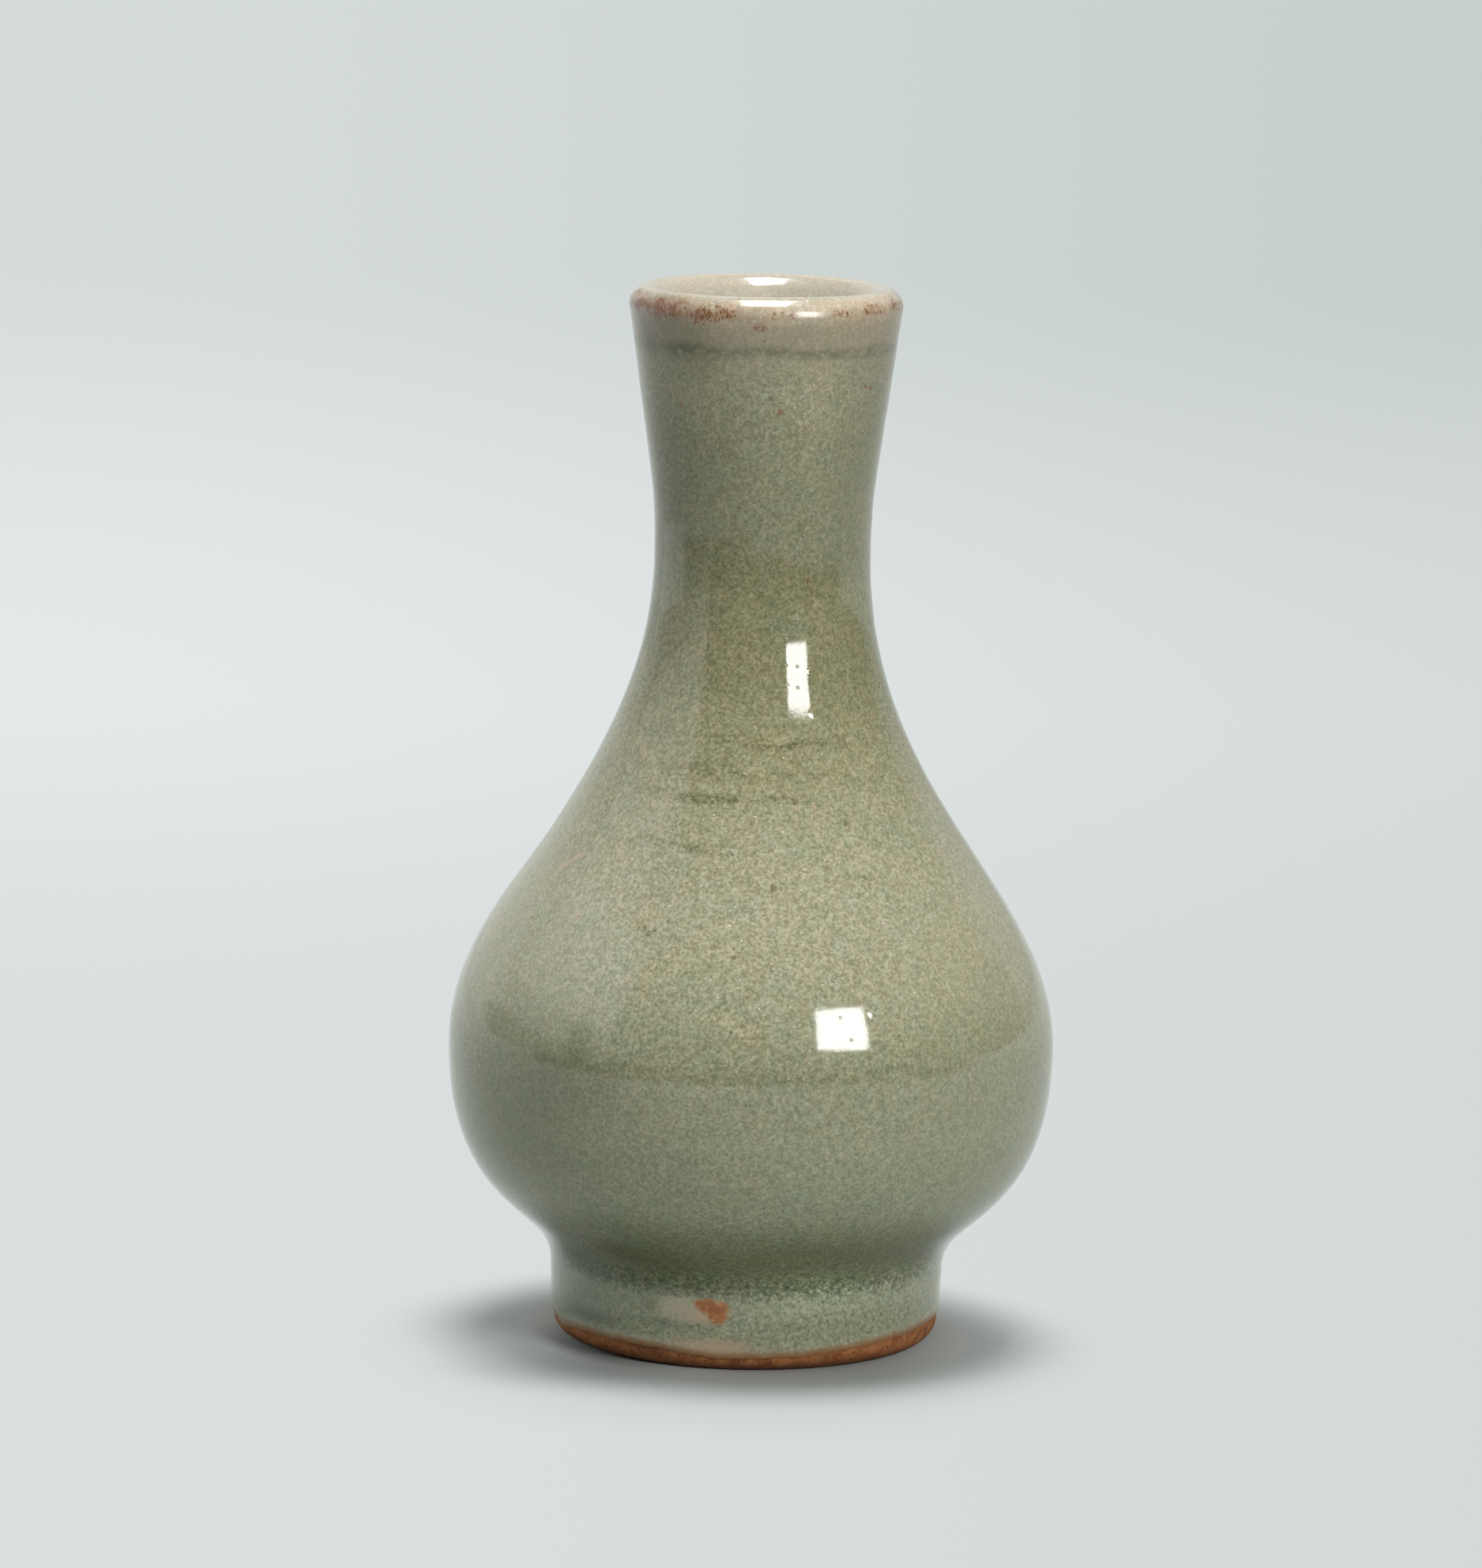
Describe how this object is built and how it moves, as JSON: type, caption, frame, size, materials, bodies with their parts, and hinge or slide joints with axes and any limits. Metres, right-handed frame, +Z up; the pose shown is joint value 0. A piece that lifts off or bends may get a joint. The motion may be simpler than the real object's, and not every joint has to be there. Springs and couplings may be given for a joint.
{
  "type": "yuhuchunping vase",
  "caption": "Pear-shaped celadon vase with a slender neck, flared mouth and rounded lip, luted from thrown stoneware sections on a turned foot ring.",
  "frame": {"origin": "centre of the foot ring, on the plane that the vase stands on", "axes": "+Z up along the vase's axis, from the foot to the mouth; X and Y are free, with the pictured front towards -Y"},
  "size_m": [0.0804, 0.0804, 0.14],
  "materials": {
    "stoneware_clay": "fired, unglazed where the glaze covers it",
    "burnt_foot_clay": "bare, burnt orange to brown in the firing",
    "luting_slip": "fired slip",
    "celadon_glaze": "glossy mottled sage green celadon",
    "lining_glaze": "glossy pale buff celadon",
    "base_celadon_glaze": "glossy pale celadon"
  },
  "bodies": {
    "root": {"foot_ring": "burnt_foot_clay", "foot_slip_seam": "luting_slip", "lower_belly": "stoneware_clay", "belly_slip_seam": "luting_slip", "upper_belly": "stoneware_clay", "neck_slip_seam": "luting_slip", "neck_tube": "stoneware_clay", "outer_glaze": "celadon_glaze", "inner_glaze": "lining_glaze", "base_glaze": "base_celadon_glaze"}
  },
  "joints": []
}
